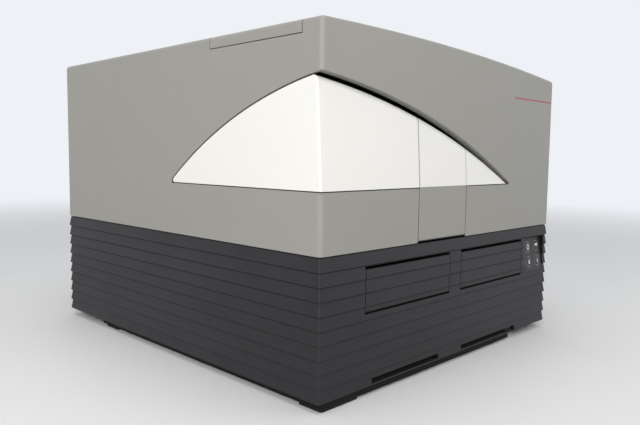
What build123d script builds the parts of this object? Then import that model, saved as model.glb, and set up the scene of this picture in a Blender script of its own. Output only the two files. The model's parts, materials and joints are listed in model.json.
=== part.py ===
from build123d import *
import os
from math import sqrt

# Bench-top microplate reader.
# Units are millimetres.  The origin is at the middle of the footprint, on the bench.
# +Z is up, the plate door and the flaps face -Y, and +X is to the right of someone facing them.

# ---- overall body ----
WIDTH = 494.0
DEPTH = 557.0
FOOT_HEIGHT = 2.5
GROUND_GAP = 10.3            # bench to the underside of the ribbed shell
FIT = 0.2                    # gap between fixed pieces that are slid together
MOVE_GAP = 0.5               # gap between a moving piece and what it passes
RUNNING_FIT = 0.05           # radial clearance of a pin or shaft in its bore

# ---- ribbed base shell ----
RIB_COUNT = 10
RIB_PITCH = 14.75
RIB_STEP = 2.0               # how far the top of a rib sits behind its lower edge
BASE_WALL = 7.0
BASE_CORNER = 2.0
SEAM = 1.6                   # shadow gap between base shell and hood
LIP_HEIGHT = 7.0             # inner lip of the base shell that the hood drops over

# ---- hood ----
HOOD_WALL = 4.0
HOOD_CORNER = 5.5            # radius of the upright corners
ROOF_EDGE = 4.5              # radius of the roof edge
ROOF_TOP = 390.4             # highest point of the roof
ROOF_CREST_X = 90.0          # crest of the roof, from the left side
ROOF_RADIUS = 4300.0

# ---- white panels and the brow over them ----
SILL_Z = 222.5               # lower edge of the white panels
ARCH_TOP = 338.6             # height of both arches at the near corner
FRONT_TIP = 372.0            # where the front arch comes down to the sill, from the left side
FRONT_ARCH_CENTRE = -98.7    # arch centre, from the left side
SIDE_TIP = 265.8             # where the side arch comes down to the sill, from the front
SIDE_ARCH_CENTRE = -97.0     # arch centre, from the front
TIP_ROUND = 3.0              # rounding of the side panel's rear tip
PANEL_TOP = 335.0            # height of the white front at the near corner
PANEL_TIP = 367.6            # where the white front's upper edge meets the sill
PANEL_ARCH_CENTRE = -126.0   # centre of that edge, from the left side
PANEL_THICK = 5.0
PANEL_LEAN = 0.062           # how far the panel front leans back for each mm of height
PANEL_LIP = 7.0              # rounding of the panel edge under the brow
PANEL_CORNER = 2.5
SIDE_ARCH_GAP = 2.0
BROW_DEPTH = 11.0
BROW_WALL = 3.5
SILL_GAP = 1.2               # height of the shadow groove under the white panels
SILL_GROOVE = 3.5            # and its depth
SILL_SHELF = 9.0             # depth of the shelf that carries the white panels
SHELF_THICK = 3.0

# ---- plate door ----
DOOR_LEFT = 161.0            # from the left side of the body
DOOR_WIDTH = 99.5
DOOR_SEAM = 1.0
DOOR_BOTTOM_GAP = 1.0
DOOR_BARREL = 4.5            # radius of the rolled lower edge, round the hinge pin
DOOR_THICK = 9.0
DOOR_PIN_R = 2.0
HINGE_LUG = 9.0              # length of each lug that holds an end of a hinge pin

# ---- two service flaps in the base shell ----
FLAP_MARGIN = 71.0           # from the left side of the body to the left flap
FLAP_SPACING = 26.5          # between the flaps
POCKET_MARGIN = 79.5         # from the right flap to the right side
FLAP_WIDTH = (WIDTH - FLAP_MARGIN - FLAP_SPACING - POCKET_MARGIN) / 2
FLAP_LEFTS = (FLAP_MARGIN, FLAP_MARGIN + FLAP_WIDTH + FLAP_SPACING)
FLAP_BOTTOM = 91.0
FLAP_HEIGHT = 47.0
FINGER_GAP = 3.4             # gap over a flap, to pull it open
FLAP_SEAM = 1.1
FLAP_THICK = 7.0
FLAP_BARREL = 4.3
FLAP_PIVOT_DEPTH = 4.8
FLAP_PIN_R = 1.5
BAY_DEPTH = 125.0
BAY_WALL = 2.5

# ---- injector pumps in the bays ----
PUMP_WIDTH = 46.0
PUMP_HEIGHT = 34.0
PUMP_LENGTH = 24.0
BARREL_R = 7.0
BARREL_BORE = 5.0
PLUNGER_TRAVEL = 30.0
PISTON = 9.0                 # length of the plunger's seal
BARREL_LENGTH = PLUNGER_TRAVEL + PISTON + 5.0
PLUNGER_ROD_R = 2.5
FLANGE_R = 9.0               # drive flange at the plunger's rear end
FLANGE_THICK = 4.0
STUB_R = 3.0                 # hose stubs of the valve block
STUB_SPREAD = 14.0
STUB_LENGTH = 6.0
PUMP_SETBACK = 8.0           # valve block behind the flap's barrel

# ---- button pocket ----
POCKET_LEFT = WIDTH - 73.0
POCKET_WIDTH = 63.0
POCKET_BOTTOM = 91.0
POCKET_HEIGHT = 50.5
POCKET_SINK_LOW = 1.2        # depth of the button plate at its lower edge
POCKET_SINK_HIGH = 8.2       # and at its upper edge
POCKET_WALL = 2.5
KEY_PLATE = 3.0
KEY_R = 7.0
KEY_SPREAD = 26.5            # between the two columns of keys
KEY_RISE = 21.7              # between the two rows
KEY_STAND_OUT = 0.8
KEY_TRAVEL = 1.0
KEY_LEFT = WIDTH - 50.0      # left column of keys, from the left side
KEY_LOW = 105.2              # lower row of keys
KEY_FOOT = 2.5               # depth of a key behind the plate
KEY_EDGE = 0.6
KEY_RIM = 1.2                # how much wider the foot of a key is
RING_WIDTH = 1.0
RING_DEPTH = 0.8
BOARD = 1.6                  # thickness of a circuit board
BOARD_INSET = 2.0
POST_R = 1.5                 # posts that carry the board
POST_INSET = 5.0
STATUS_PANE = (1.2, 1.2, 11.0, 7.5)    # lower left corner on the plate, width, height
LAMP_PANE = (4.2, 17.5, 3.0, 5.0)      # the same for the small pane above it
STATUS_DEPTH = 1.6
STATUS_PROUD = 0.3

# ---- slots in the lowest rib ----
SLOT_SPANS = ((83.0, 127.0), (261.0, 141.0))   # left end and length of each slot
SLOT_LOW = 12.0
SLOT_HIGH = 17.8
PLINTH_RIGHT = 388.0         # right end of the plinth, from the left side
PLINTH_BACK = 462.0          # rear end of the plinth, from the front
PLINTH_INSET = 7.5
PLINTH_FRONT = 3.0           # setback of its front edge below the shell
PLINTH_WALL = 30.0
SHEET = 2.0                  # sheet-metal thickness inside
FOOT_LENGTH = 56.0
FOOT_WIDTH = 34.0
FOOT_CORNER = 3.0
FOOT_SETBACK = 10.0          # of the right-hand and rear feet from the plinth's edges

# ---- roof lid over the injector port ----
LID_FRONT = 28.5             # from the front
LID_LENGTH = 150.5
LID_WIDTH = 120.0            # from the left side to the hinge
LID_DROP = 13.0              # how far the lid wraps down over the side
LID_SEAM = 1.0
LID_THICK = 3.5
LID_BARREL = 3.5
LID_PIN_R = 1.2
PIN_OVERLAP = 6.0            # how far the lid's pin runs on past the lid at each end
WELL_DEPTH = 24.0            # floor of the tray below the hinge
WELL_RIM_DROP = 12.0         # rim of the tray below the hinge
WELL_WALL = 3.0
WELL_EAR = 4.0               # thickness of the ears that hold the pin
PORT_PLACE = 60.0            # port centre, from the left side and from the lid's front end
PORT_R = 16.0
PORT_BORE = 9.0

# ---- inner frame, rails and plate carriage ----
DECK_TOP = 196.0
DECK_THICK = 6.0
RAIL_SPREAD = 35.0           # rail centres, either side of the plate's centre line
RAIL_W = 12.0
RAIL_H = 8.0
CARRIAGE_Z = 224.0           # underside of the carriage plate
CARRIAGE_THICK = 4.0
CARRIAGE_WIDTH = 94.0
CARRIAGE_BACK = 60.0         # distance of the carriage behind the door hinge
CARRIAGE_TRAVEL = 200.0
PLATE_LENGTH = 127.76        # footprint of a standard microplate
PLATE_WIDTH = 85.48
PLATE_PLAY = 0.3
NEST_WALL_H = 7.0
SCREW_R = 4.0
SCREW_Z = 214.0
MOTOR = 35.0
MOTOR_LENGTH = 40.0
CARRIAGE_TAIL = CARRIAGE_TRAVEL / 2  # carriage plate behind the nest
SHOE_LENGTH = 28.0
NUT = 20.0
BEARING = 8.0                # thickness of a screw bearing
FRAME_SETBACK = 17.0         # front ends of the rails behind the hood's face

# ---- reading head ----
BEAM_Z = ROOF_TOP - 90.4
BEAM_H = 18.0
BEAM_W = 20.0
HEAD_WIDTH = 56.0
HEAD_DEPTH = 52.0
HEAD_HEIGHT = 56.0
LENS_R = 15.0
LENS_BOTTOM = 251.0
FOCUS_TRAVEL = 4.0
HEAD_TRAVEL = 34.0
HEAD_SCREW_R = 3.0
BEAM_POST = 12.0             # width of the posts under the beam
BEAM_LEFT_REACH = 60.0       # beam ends beyond the head's travel
BEAM_RIGHT_REACH = 30.0
HEAD_RAIL_LOW = 5.0          # rail on the beam's front, above the beam's underside
HEAD_RAIL_HIGH = 13.0
HEAD_RAIL_DEPTH = 9.0
HEAD_GAP = 1.5               # head to beam
SCREW_EAR = 6.0
SCREW_CLEAR = 4.0            # head screw above the beam
HEAD_MOTOR = 28.0
HEAD_MOTOR_LENGTH = 30.0

# ---- optical units and electronics ----
UNIT_BACK = 62.5             # rear of the emission unit, from the rear panel
EMISSION_LENGTH = 130.0
EXCITATION_LENGTH = 140.0
UNIT_SPACING = 12.0
UNIT_HEIGHT = 92.0
UNIT_LID = 3.0
UNIT_LID_RIM = 2.0
LIGHT_PIPE_R = 9.0
LIGHT_PIPE_Z = 56.0
LAMP_BACK = 49.5
LAMP = (70.0, 95.0, 78.0)    # width, length and height of the lamp housing
LAMP_PORT = (12.0, 18.0, 45.0)       # radius, length and height of its port
DETECTOR = (75.0, 90.0, 84.0)
DETECTOR_PORT = (14.0, 18.0, 50.0)
DETECTOR_SPACING = 22.0
LEFT_UNIT_INSET = 25.0
SUPPLY = (125.0, 135.0, 62.0)        # width, length and height of the power supply
SUPPLY_PLACE = (35.0, 40.0)          # from the left side and from the rear panel
SUPPLY_VENTS = 6
VENT_PITCH = 20.0
MAIN_BOARD_PLACE = (0.0, 10.0)       # front left corner
STAND_OFF = 8.0
STAND_OFF_R = 4.0
# place on the board, width, length and height of each larger component
COMPONENTS = ((40.0, 40.0, 34.0, 34.0, 3.0), (110.0, 60.0, 60.0, 18.0, 12.0), (60.0, 140.0, 40.0, 26.0, 16.0),
              (140.0, 130.0, 24.0, 60.0, 10.0), (30.0, 180.0, 20.0, 20.0, 22.0))

# ---- rear panel ----
REAR_RECESS = 2.0
FAN = 80.0
FAN_DEPTH = 25.0
FAN_X = 110.0
FAN_Z = 265.0

FAN_HUB_R = 14.0
FAN_SHAFT_R = 1.8
FAN_BLADES = 7
FAN_SPIDER = 3.0             # thickness of the frame's spider
GRILLE_PITCH = 8.0
GRILLE_SLOT = 4.0
VENT_ROWS = 8
VENT_LOW = 236.0
VENT_SPAN = (57.0, 157.0)    # ends of the vent slots, from the left side
REAR_SCREW_INSETS = (18.0, 130.0)
REAR_SCREW_LOW = 30.0
REAR_SCREW_DROP = 35.4       # upper screws below the roof's crest
REAR_SCREW_R = 1.5
REAR_SCREW_HEAD = 3.0
SWITCH_RIM = 3.0
ROCKER_TILT = 8.0
ROCKER_PIN_R = 1.2

# ---- red strip on the front ----
STRIP_LEFT = WIDTH - 116.0   # from the left side
STRIP_LENGTH = 110.0
STRIP_Z = 339.4
STRIP_HEIGHT = 1.8
STRIP_DEPTH = 0.8

LEFT, RIGHT = -WIDTH / 2, WIDTH / 2
FRONT, REAR = -DEPTH / 2, DEPTH / 2
BASE_TOP = GROUND_GAP + RIB_COUNT * RIB_PITCH
HOOD_LOW = BASE_TOP + SEAM / 2
SHELL_TOP = BASE_TOP - SEAM / 2
PLATE_X = LEFT + DOOR_LEFT + DOOR_WIDTH / 2
DOOR_Z = HOOD_LOW + DOOR_BOTTOM_GAP - SEAM / 2 + DOOR_BARREL
DOOR_Y = FRONT + DOOR_BARREL
FLAP_Z = FLAP_BOTTOM + FLAP_BARREL
FLAP_Y = FRONT + FLAP_PIVOT_DEPTH
PAN_TOP = SLOT_HIGH + 1.0 + SHEET
REAR_FACE = REAR - REAR_RECESS
REAR_INNER = REAR_FACE - SHEET
PLATE_FRONT = DOOR_Y + CARRIAGE_BACK
CARRIAGE_TOP = CARRIAGE_Z + CARRIAGE_THICK
NEST_WALL = (CARRIAGE_WIDTH - PLATE_WIDTH) / 2 - PLATE_PLAY
NEST_LENGTH = PLATE_LENGTH + 2 * (PLATE_PLAY + NEST_WALL)
HEAD_Y = PLATE_FRONT + NEST_LENGTH / 2
INLET = (LEFT + 90, 70.0, 48.0, 28.0)      # mains inlet on the rear: x, z, width, height
SWITCH = (LEFT + 90, 108.0, 22.0, 30.0)    # power switch
DATA = (60.0, 62.0, 13.0, 12.0)            # data socket


def block(x0, x1, y0, y1, z0, z1):
    """A box between two corners."""
    return Pos((x0 + x1) / 2, (y0 + y1) / 2, (z0 + z1) / 2) * Box(x1 - x0, y1 - y0, z1 - z0)


def rod_x(r, x0, x1, y, z):
    return Pos((x0 + x1) / 2, y, z) * Rot(0, 90, 0) * Cylinder(r, x1 - x0)


def rod_y(r, x, y0, y1, z):
    return Pos(x, (y0 + y1) / 2, z) * Rot(90, 0, 0) * Cylinder(r, y1 - y0)


def rod_z(r, x, y, z0, z1):
    return Pos(x, y, (z0 + z1) / 2) * Cylinder(r, z1 - z0)


def prism_x(points, x0, x1):
    """An outline of (y, z) points, drawn out along X."""
    outline = Polyline(*[(x0, y, z) for y, z in points], close=True)
    return extrude(make_face(outline), amount=x1 - x0, dir=(1, 0, 0))


def save(name, *shapes):
    """Write one node; each shape given is one of its solids."""
    shape = shapes[0] if len(shapes) == 1 else Compound(children=list(shapes))
    export_step(shape, f"parts/{name}.step")


# ================= hood and arches =================

def roof_height(x, inset=0.0):
    """Height of the roof, or of a surface that far below it, at x."""
    centre = ROOF_TOP - ROOF_RADIUS
    return centre + sqrt((ROOF_RADIUS - inset) ** 2 - (x - LEFT - ROOF_CREST_X) ** 2)


def hood_block(inset, low, back):
    """Solid with the hood's outline, set in by inset, from the front to back."""
    x0, x1, y0 = LEFT + inset, RIGHT - inset, FRONT + inset
    crest = LEFT + ROOF_CREST_X
    left_top, right_top = roof_height(x0, inset), roof_height(x1, inset)
    outline = Polyline((x0, y0, left_top), (x0, y0, low), (x1, y0, low), (x1, y0, right_top))
    roof = ThreePointArc((x1, y0, right_top), (crest, y0, ROOF_TOP - inset), (x0, y0, left_top))
    return extrude(make_face(Wire([*outline.edges(), roof])), amount=back - y0, dir=(0, 1, 0))


def hood_outer():
    """Outer form of the hood with its rounded corners and roof edge."""
    body = hood_block(0.0, HOOD_LOW, REAR)
    upright = body.edges().filter_by(Axis.Z)
    body = fillet(upright, HOOD_CORNER)
    top = body.edges().filter_by(lambda e: e.center().Z > roof_height(RIGHT) - 1)
    return fillet(top, ROOF_EDGE)


def arch_circle(centre, top, tip, tip_height):
    """Height of the centre and radius of the arc through (0, top) and (tip, tip_height)."""
    height = (centre ** 2 + top ** 2 - (tip - centre) ** 2 - tip_height ** 2)
    height /= 2 * (top - tip_height)
    return height, sqrt(centre ** 2 + (top - height) ** 2)


def front_segment(centre, top, tip, grow, y0, y1):
    """Segment over the sill under the arc through (0, top) and (tip, sill), drawn out along Y."""
    z, r = arch_circle(centre, top, tip, SILL_Z)
    disc = rod_y(r + grow, LEFT + centre, y0, y1, z)
    return disc & block(LEFT - 1, RIGHT, y0, y1, SILL_Z, ARCH_TOP + 20)


def front_arch(grow=0.0, y0=FRONT - 1, y1=FRONT + BROW_DEPTH):
    """Opening under the front brow."""
    return front_segment(FRONT_ARCH_CENTRE, ARCH_TOP, FRONT_TIP, grow, y0, y1)


def panel_arch(inset=0.0):
    """Everything under the upper edge of the white front."""
    return front_segment(PANEL_ARCH_CENTRE, PANEL_TOP, PANEL_TIP, -inset, FRONT - 1, REAR)


def side_arch(gap=0.0, x1=LEFT + HOOD_WALL):
    """Segment over the sill that lies under the side arch, drawn out along X, with its tip rounded."""
    x0 = LEFT - 1
    z, r = arch_circle(SIDE_ARCH_CENTRE, ARCH_TOP, SIDE_TIP, SILL_Z)
    disc = rod_x(r - gap, x0, x1, FRONT + SIDE_ARCH_CENTRE, z)
    segment = disc & block(x0, x1, FRONT - 1, REAR, SILL_Z, ARCH_TOP + 20)
    tip = segment.edges().filter_by(Axis.X).sort_by(Axis.Y)[-1]
    return fillet(tip, TIP_ROUND)


def door_slot(seam, z0, z1, y1=FRONT + BROW_DEPTH):
    """The upright strip that the plate door fills, widened by seam."""
    x0 = LEFT + DOOR_LEFT - seam
    return block(x0, x0 + DOOR_WIDTH + 2 * seam, FRONT - 1, y1, z0, z1)


def hood_shell(outer):
    cavity = hood_block(HOOD_WALL, HOOD_LOW - 1, REAR + 1)
    shell = outer - cavity
    brow = front_arch(grow=BROW_WALL, y0=FRONT + HOOD_WALL - 1) - front_arch()
    brow &= block(LEFT + HOOD_WALL - 1, RIGHT, FRONT, FRONT + BROW_DEPTH, SILL_Z, ARCH_TOP + 20)
    shelf_cut = block(LEFT + SILL_SHELF, RIGHT, FRONT + SILL_SHELF, REAR, 0, ARCH_TOP)
    shelf = block(LEFT + 1, LEFT + FRONT_TIP + SILL_SHELF, FRONT + 1, FRONT + SIDE_TIP,
                  SILL_Z - SHELF_THICK, SILL_Z)
    shelf -= shelf_cut
    shell = shell + brow + shelf
    shell -= front_arch(y1=FRONT + HOOD_WALL)
    shell -= side_arch()
    shell -= sill_groove()
    shell -= door_slot(DOOR_SEAM, HOOD_LOW - 1, ARCH_TOP - BROW_DEPTH) & door_reach()
    for end in (DOOR_LEFT - DOOR_SEAM - HINGE_LUG, DOOR_LEFT + DOOR_WIDTH + DOOR_SEAM):
        x0 = LEFT + end
        shell += block(x0, x0 + HINGE_LUG, FRONT + 1, FRONT + 2 * DOOR_BARREL, HOOD_LOW, DOOR_Z + 6)
    shell -= rod_x(DOOR_PIN_R, *door_pin_ends(), DOOR_Y, DOOR_Z)
    shell -= lid_cut()
    shell -= lid_pin()
    return shell - stripe_solid()


def sill_groove():
    """Thin groove in the hood's skin just under the white panels."""
    low, high, d = SILL_Z - SILL_GAP, SILL_Z + 1, SILL_GROOVE
    front = block(LEFT - 1, LEFT + PANEL_TIP, FRONT - 1, FRONT + d, low, high)
    side = block(LEFT - 1, LEFT + d, FRONT - 1, FRONT + SIDE_TIP - TIP_ROUND - SIDE_ARCH_GAP, low, high)
    return front + side


def door_reach():
    """Everything under the front arch and, below the sill, everything in front of the shelf's back."""
    below = block(LEFT, RIGHT, FRONT - 1, FRONT + BROW_DEPTH, 0, SILL_Z)
    return front_arch() + below


def door_pin_ends():
    x0 = LEFT + DOOR_LEFT - DOOR_SEAM - HINGE_LUG / 2
    return x0, x0 + DOOR_WIDTH + 2 * DOOR_SEAM + HINGE_LUG


def white_shell():
    """The leaning white front and the flush white side, as one skin before it is split."""
    height = ARCH_TOP + 20 - SILL_Z
    lean = PANEL_LEAN * height
    mass = prism_x([(FRONT, SILL_Z), (FRONT + lean, SILL_Z + height),
                    (FRONT + SIDE_TIP, SILL_Z + height), (FRONT + SIDE_TIP, SILL_Z)], LEFT, RIGHT)
    corner = mass.edges().filter_by(
        lambda e: e.center().X < LEFT + 1 and e.center().Y < FRONT + lean and e.length > 50)
    arched = mass & panel_arch()
    lip = arched.edges().filter_by(
        lambda e: e.center().Y < FRONT + lean and e.center().Z > SILL_Z + 20 and e.length > 200)
    mass = fillet(lip, PANEL_LIP) & fillet(corner, PANEL_CORNER) & side_arch(gap=SIDE_ARCH_GAP, x1=RIGHT)
    t = PANEL_THICK
    core = prism_x([(FRONT + t - PANEL_LEAN, SILL_Z - 1), (FRONT + t + lean, SILL_Z + height),
                    (REAR, SILL_Z + height), (REAR, SILL_Z - 1)], LEFT + t, RIGHT)
    return mass - core


def split_panels(skin):
    """Corner panel, right-hand panel and the door's facing."""
    x0, x1 = LEFT + DOOR_LEFT, LEFT + DOOR_LEFT + DOOR_WIDTH
    half = DOOR_SEAM / 2
    corner = skin & block(LEFT - 1, x0 - half, FRONT - 1, REAR, SILL_Z - 1, ARCH_TOP)
    right = skin & block(x1 + half, RIGHT, FRONT - 1, REAR, SILL_Z - 1, ARCH_TOP)
    facing = skin & block(x0 + half, x1 - half, FRONT - 1, REAR, SILL_Z + FIT, ARCH_TOP)
    return corner, right, facing


def door_body():
    """Grey lower part, the backing of the white facing, and the rolled edge round the pin."""
    x0, x1 = LEFT + DOOR_LEFT + DOOR_SEAM / 2, LEFT + DOOR_LEFT + DOOR_WIDTH - DOOR_SEAM / 2
    rise = ARCH_TOP - SILL_Z
    lean = PANEL_LEAN * rise
    step, back = FRONT + PANEL_THICK, FRONT + DOOR_THICK
    slab = prism_x([(FRONT, DOOR_Z), (FRONT, SILL_Z), (step, SILL_Z), (step + lean, SILL_Z + rise),
                    (back + lean, SILL_Z + rise), (back, SILL_Z), (back, DOOR_Z)], x0, x1)
    slab &= panel_arch(inset=1.0) + block(x0, x1, FRONT - 1, REAR, 0, SILL_Z)
    door = slab + rod_x(DOOR_BARREL, x0, x1, DOOR_Y, DOOR_Z)
    return door - rod_x(DOOR_PIN_R + RUNNING_FIT, x0 - 1, x1 + 1, DOOR_Y, DOOR_Z)


# ================= roof lid =================

def lid_region(grow, drop):
    """The part of the roof's left edge that the lid takes, widened by grow."""
    return block(LEFT - 2, lid_hinge()[0], FRONT + LID_FRONT - grow, FRONT + LID_FRONT + LID_LENGTH + grow,
                 roof_height(LEFT) - drop - grow, ROOF_TOP + 5)


def lid_hinge():
    x = LEFT + LID_WIDTH - LID_BARREL
    return x, roof_height(x) - LID_BARREL


def lid_cut():
    """Opening in the hood for the lid, with room for its rolled edge."""
    x, z = lid_hinge()
    y0, y1 = FRONT + LID_FRONT - LID_SEAM, FRONT + LID_FRONT + LID_LENGTH + LID_SEAM
    edge = block(x, x + LID_BARREL + LID_SEAM, y0, y1, z - 20, ROOF_TOP + 5)
    return lid_region(LID_SEAM, LID_DROP) + edge


def roof_lid(outer):
    x, z = lid_hinge()
    y0, y1 = FRONT + LID_FRONT, FRONT + LID_FRONT + LID_LENGTH
    skin = outer - hood_block(LID_THICK, HOOD_LOW - 1, REAR + 1)
    lid = (skin & lid_region(0.0, LID_DROP)) + rod_y(LID_BARREL, x, y0, y1, z)
    return lid - rod_y(LID_PIN_R + RUNNING_FIT, x, y0 - 1, y1 + 1, z)


def lid_well():
    """Tray under the lid with the injector port; its rim ears hold the lid's pin."""
    x, z = lid_hinge()
    x0, x1 = LEFT + HOOD_WALL, x + 4 * WELL_WALL
    y0, y1 = FRONT + LID_FRONT - PIN_OVERLAP, FRONT + LID_FRONT + LID_LENGTH + PIN_OVERLAP
    floor, rim = z - WELL_DEPTH, z - WELL_RIM_DROP
    wall = WELL_WALL
    tray = block(x0, x1, y0, y1, floor, rim)
    tray -= block(x0 + wall, x1 - wall, y0 + wall, y1 - wall, floor + wall, z)
    for y in (y0, y1 - WELL_EAR):
        tray += block(x - 5, x + 5, y, y + WELL_EAR, rim - 1, roof_height(x + 5, HOOD_WALL))
    tray -= rod_y(LID_PIN_R, x, y0 - 1, y1 + 1, z)
    port_x, port_y = LEFT + PORT_PLACE, FRONT + LID_FRONT + PORT_PLACE
    tray += rod_z(PORT_R, port_x, port_y, floor, rim)
    return tray - rod_z(PORT_BORE, port_x, port_y, floor - 1, rim + 1)


# ================= base shell =================

def ribbed_block():
    """The ten stacked ribs, each leaning in towards its top."""
    body = None
    for k in range(RIB_COUNT):
        low = GROUND_GAP + k * RIB_PITCH
        high = SHELL_TOP if k == RIB_COUNT - 1 else low + RIB_PITCH
        foot = Pos(0, 0, low) * RectangleRounded(WIDTH, DEPTH, BASE_CORNER)
        head = Pos(0, 0, high) * RectangleRounded(WIDTH - 2 * RIB_STEP, DEPTH - 2 * RIB_STEP, BASE_CORNER)
        rib = loft([foot, head], ruled=True)
        body = rib if body is None else body + rib
    return body


def flap_opening(left):
    """Corners of one flap's opening: x0, x1, z0, z1."""
    x0 = LEFT + left - FLAP_SEAM
    return x0, x0 + FLAP_WIDTH + 2 * FLAP_SEAM, FLAP_BOTTOM - FLAP_SEAM, FLAP_BOTTOM + FLAP_HEIGHT + FINGER_GAP


def base_shell(ribs):
    inner_x0, inner_x1, inner_y0 = LEFT + BASE_WALL, RIGHT - BASE_WALL, FRONT + BASE_WALL
    shell = ribs - block(inner_x0, inner_x1, inner_y0, REAR + 1, GROUND_GAP - 1, BASE_TOP + 1)
    lip = block(LEFT + HOOD_WALL, RIGHT - HOOD_WALL, FRONT + HOOD_WALL, REAR_INNER - 2,
                SHELL_TOP - 8, BASE_TOP + LIP_HEIGHT)
    lip -= block(inner_x0, inner_x1, inner_y0, REAR + 1, 0, BASE_TOP + LIP_HEIGHT + 1)
    lip -= block(LEFT + DOOR_LEFT - 14, LEFT + DOOR_LEFT + DOOR_WIDTH + 14, FRONT, FRONT + 20,
                 SHELL_TOP, BASE_TOP + LIP_HEIGHT + 1)
    shell += lip + pocket_frame()
    for left in FLAP_LEFTS:
        x0, x1, z0, z1 = flap_opening(left)
        for lug_x in (x0 - HINGE_LUG, x1):
            shell += block(lug_x, lug_x + HINGE_LUG, FRONT + 3, FLAP_Y + FLAP_BARREL, z0, FLAP_Z + 6)
        shell -= block(x0, x1, FRONT - 1, FRONT + BASE_WALL + 1, z0, z1)
        shell -= rod_x(FLAP_PIN_R, x0 - HINGE_LUG / 2, x1 + HINGE_LUG / 2, FLAP_Y, FLAP_Z)
    shell -= pocket_space(0.0, FRONT - 1, FRONT + POCKET_SINK_HIGH + KEY_PLATE + 8)
    for left, length in SLOT_SPANS:
        shell -= block(LEFT + left, LEFT + left + length, FRONT - 1, FRONT + BASE_WALL + 1, SLOT_LOW, SLOT_HIGH)
    right_end = LEFT + SLOT_SPANS[1][0] + SLOT_SPANS[1][1]
    shell -= block(LEFT + PLINTH_RIGHT, right_end, FRONT - 1, FRONT + BASE_WALL + 1, GROUND_GAP - 1, SLOT_HIGH)
    return shell


def pocket_space(grow, y0, y1):
    x0 = LEFT + POCKET_LEFT - grow
    z0 = POCKET_BOTTOM - grow
    return block(x0, x0 + POCKET_WIDTH + 2 * grow, y0, y1, z0, z0 + POCKET_HEIGHT + 2 * grow)


def pocket_frame():
    """Walls behind the shell's face that line the button pocket."""
    return pocket_space(POCKET_WALL, FRONT + BASE_WALL - 1, FRONT + POCKET_SINK_HIGH + KEY_PLATE + 2)


def key_frame():
    """Plane of the button plate's face: origin at the pocket's lower left, x right, y up the plate."""
    slope = (POCKET_SINK_HIGH - POCKET_SINK_LOW) / POCKET_HEIGHT
    origin = (LEFT + POCKET_LEFT, FRONT + POCKET_SINK_LOW, POCKET_BOTTOM)
    return Plane(origin=origin, x_dir=(1, 0, 0), z_dir=(0, -1, slope))


def key_places():
    """Centre of each key on the plate: name, right, up."""
    right = KEY_LEFT - POCKET_LEFT
    up = KEY_LOW - POCKET_BOTTOM
    return [("key_lower_left", right, up), ("key_lower_right", right + KEY_SPREAD, up),
            ("key_upper_left", right, up + KEY_RISE), ("key_upper_right", right + KEY_SPREAD, up + KEY_RISE)]


def key_plate():
    face = key_frame()
    plate = face * Pos(POCKET_WIDTH / 2, POCKET_HEIGHT / 2, -KEY_PLATE / 2) * Box(
        POCKET_WIDTH + 2, POCKET_HEIGHT + 6, KEY_PLATE)
    plate &= pocket_space(-FIT, FRONT - 5, FRONT + 30)
    for _, right, up in key_places():
        plate -= face * Pos(right, up, -KEY_PLATE / 2) * Cylinder(KEY_R + MOVE_GAP / 2, KEY_PLATE + 2)
        ring_r = KEY_R + MOVE_GAP / 2 + RING_WIDTH
        plate -= face * Pos(right, up, -RING_DEPTH / 2) * Cylinder(ring_r, RING_DEPTH)
    post = board_gap() - KEY_PLATE
    for right in (POST_INSET, KEY_LEFT - POCKET_LEFT + KEY_SPREAD / 2):
        for up in (POST_INSET, POCKET_HEIGHT - POST_INSET):
            plate += face * Pos(right, up, -KEY_PLATE - post / 2) * Cylinder(POST_R, post)
    for pane in status_window(0.0):
        plate -= pane
    return plate


def key_rings():
    """Pale rings let into the plate round the keys."""
    face = key_frame()
    rings = []
    for _, right, up in key_places():
        ring = Cylinder(KEY_R + MOVE_GAP / 2 + RING_WIDTH, RING_DEPTH) - Cylinder(KEY_R + MOVE_GAP / 2, 2)
        rings.append(face * Pos(right, up, -RING_DEPTH / 2) * ring)
    return rings


def status_window(out):
    """Two dark panes at the left of the plate, standing out by out."""
    thick = STATUS_DEPTH + out
    return [key_frame() * Pos(right + wide / 2, up + high / 2, out - thick / 2) * Box(wide, high, thick)
            for right, up, wide, high in (STATUS_PANE, LAMP_PANE)]


def key_cap(right, up):
    """A flat round key with a wider foot that keeps it behind the plate."""
    length = KEY_STAND_OUT + KEY_PLATE + KEY_FOOT
    cap = key_frame() * Pos(right, up, KEY_STAND_OUT - length / 2) * Cylinder(KEY_R, length)
    rim = cap.edges().sort_by(Axis.Y)[0]
    cap = fillet(rim, KEY_EDGE)
    foot = KEY_FOOT - MOVE_GAP
    behind = Pos(right, up, -KEY_PLATE - MOVE_GAP - foot / 2)
    return cap + key_frame() * behind * Cylinder(KEY_R + KEY_RIM, foot)


def board_gap():
    """Depth of the circuit board behind the plate's face."""
    return KEY_PLATE + KEY_FOOT + KEY_TRAVEL + MOVE_GAP


def key_board():
    """Circuit board behind the keys."""
    return key_frame() * Pos(POCKET_WIDTH / 2, POCKET_HEIGHT / 2, -board_gap() - BOARD / 2) * Box(
        POCKET_WIDTH - 2 * BOARD_INSET, POCKET_HEIGHT - 2 * BOARD_INSET, BOARD)


def flap(ribs, left):
    """Ribbed flap with a rolled lower edge round its pin."""
    x0, x1 = LEFT + left, LEFT + left + FLAP_WIDTH
    slab = block(x0, x1, FRONT - 1, FRONT + FLAP_THICK, FLAP_Z, FLAP_BOTTOM + FLAP_HEIGHT)
    body = ribs & (slab + rod_x(FLAP_BARREL, x0, x1, FLAP_Y, FLAP_Z))
    return body - rod_x(FLAP_PIN_R + RUNNING_FIT, x0 - 1, x1 + 1, FLAP_Y, FLAP_Z)


def flap_pin(left):
    x0, x1 = flap_opening(left)[:2]
    return rod_x(FLAP_PIN_R, x0 - HINGE_LUG / 2, x1 + HINGE_LUG / 2, FLAP_Y, FLAP_Z)


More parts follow.
